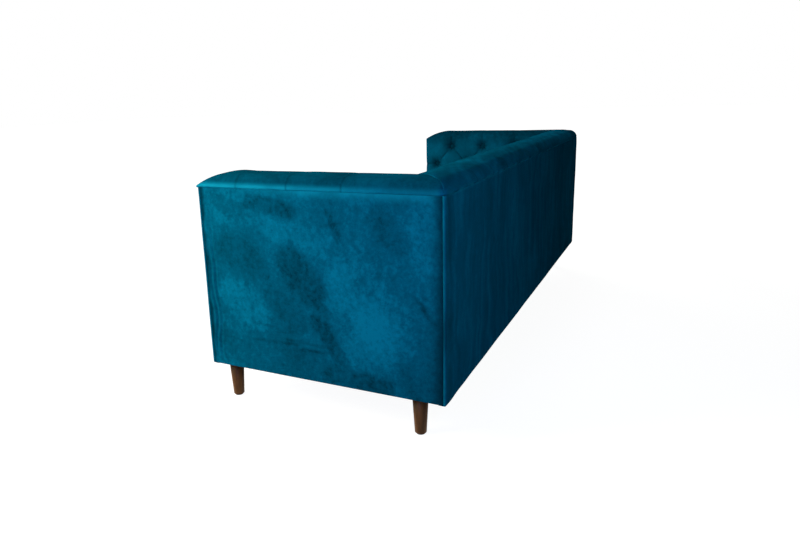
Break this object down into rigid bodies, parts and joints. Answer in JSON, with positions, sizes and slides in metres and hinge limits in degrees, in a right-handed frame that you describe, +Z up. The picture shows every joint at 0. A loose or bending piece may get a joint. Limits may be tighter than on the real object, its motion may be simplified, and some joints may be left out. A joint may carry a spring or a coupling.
{
  "type": "three-seater sofa",
  "caption": "Sofa with arms level with its back, deep-buttoned velvet inside faces, padded top roll, loose seat cushions and tapered round wooden legs.",
  "frame": {"origin": "on the floor, under the middle of the sofa's box", "axes": "+Z up, +X to the sitter's left, the seat faces -Y"},
  "size_m": [2.13, 0.8, 0.75],
  "materials": {
    "velvet": "matte",
    "foam": "matte",
    "wadding": "matte",
    "lining": "matte",
    "felt": "matte",
    "webbing": "matte",
    "timber": "matte",
    "board": "matte",
    "leg_wood": "satin",
    "steel": "satin"
  },
  "bodies": {
    "sofa_body": {"arm_buttons_left": "velvet", "arm_buttons_right": "velvet", "arm_foam_left": "foam", "arm_foam_right": "foam", "arm_front_cover_left": "velvet", "arm_front_cover_right": "velvet", "arm_front_pads": "foam", "arm_front_post_left": "timber", "arm_front_post_right": "timber", "arm_inner_boards": "board", "arm_outer_boards": "board", "arm_rear_post_left": "timber", "arm_rear_post_right": "timber", "arm_top_board_left": "timber", "arm_top_board_right": "timber", "back_buttons": "velvet", "back_foam": "foam", "back_outer_board": "board", "back_rail": "timber", "back_top_board": "timber", "back_uprights": "timber", "back_webbing": "webbing", "base_stretchers": "timber", "corner_blocks": "timber", "deck_cloth": "lining", "deck_pad": "foam", "dust_cover": "lining", "frame_dowels": "timber", "frame_screws": "steel", "front_rail": "timber", "front_rail_cover": "velvet", "front_rail_pad": "foam", "inside_arm_cover_left": "velvet", "inside_arm_cover_right": "velvet", "inside_back_cover": "velvet", "leg_bolts": "steel", "leg_front_left": "leg_wood", "leg_front_right": "leg_wood", "leg_glides": "felt", "leg_plates": "steel", "leg_rear_left": "leg_wood", "leg_rear_right": "leg_wood", "outer_wadding": "wadding", "outside_arm_cover_left": "velvet", "outside_arm_cover_right": "velvet", "outside_back_cover": "velvet", "plate_screws": "steel", "rear_seat_rail": "timber", "seat_insulator": "felt", "seat_side_rails": "timber", "seat_springs": "steel", "side_rails": "timber", "spring_clips": "steel"},
    "cushion_1": {"cushion_core_1": "foam", "cushion_cover_1": "velvet"},
    "cushion_2": {"cushion_core_2": "foam", "cushion_cover_2": "velvet"},
    "cushion_3": {"cushion_core_3": "foam", "cushion_cover_3": "velvet"}
  },
  "joints": [
    {"name": "cushion_1_lift", "type": "slide", "parent": "sofa_body", "child": "cushion_1", "axis": [0, 0, 1], "range_m": [0, 0.47]},
    {"name": "cushion_2_lift", "type": "slide", "parent": "sofa_body", "child": "cushion_2", "axis": [0, 0, 1], "range_m": [0, 0.47]},
    {"name": "cushion_3_lift", "type": "slide", "parent": "sofa_body", "child": "cushion_3", "axis": [0, 0, 1], "range_m": [0, 0.47]}
  ]
}
